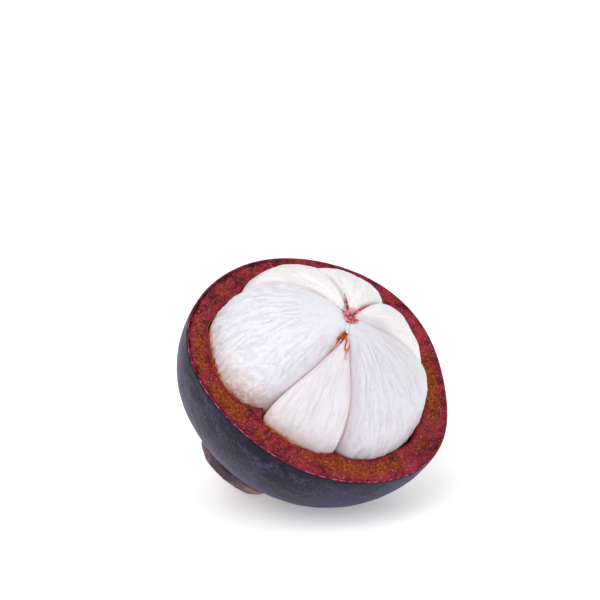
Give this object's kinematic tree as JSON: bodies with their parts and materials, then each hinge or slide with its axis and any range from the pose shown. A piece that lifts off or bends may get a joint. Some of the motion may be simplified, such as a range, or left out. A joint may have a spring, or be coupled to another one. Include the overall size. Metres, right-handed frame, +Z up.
{
  "type": "mangosteen half",
  "caption": "Opened mangosteen: lower half of a thick dark rind holding its whole white segmented flesh, with calyx and short stem.",
  "frame": {"origin": "middle of the small flat spot of the rind that it rests on", "axes": "+Z up from the table; the cut face leans towards the front, at -Y, and a little towards +X"},
  "size_m": [0.0601, 0.0584, 0.0518],
  "materials": {
    "rind": "satin skin with a faint grey bloom; the cut face is matt crimson pith",
    "flesh": "moist, finely ribbed, slightly translucent",
    "sepal": "leathery, satin",
    "stem": "matt bark with a corky broken end",
    "fibre": "moist fibre"
  },
  "bodies": {
    "root": {"rind": "rind", "segment_1": "flesh", "segment_2": "flesh", "segment_3": "flesh", "segment_4": "flesh", "segment_5": "flesh", "segment_6": "flesh", "sepal_1": "sepal", "sepal_2": "sepal", "sepal_3": "sepal", "sepal_4": "sepal", "stem": "stem", "fibres": "fibre"}
  },
  "joints": []
}
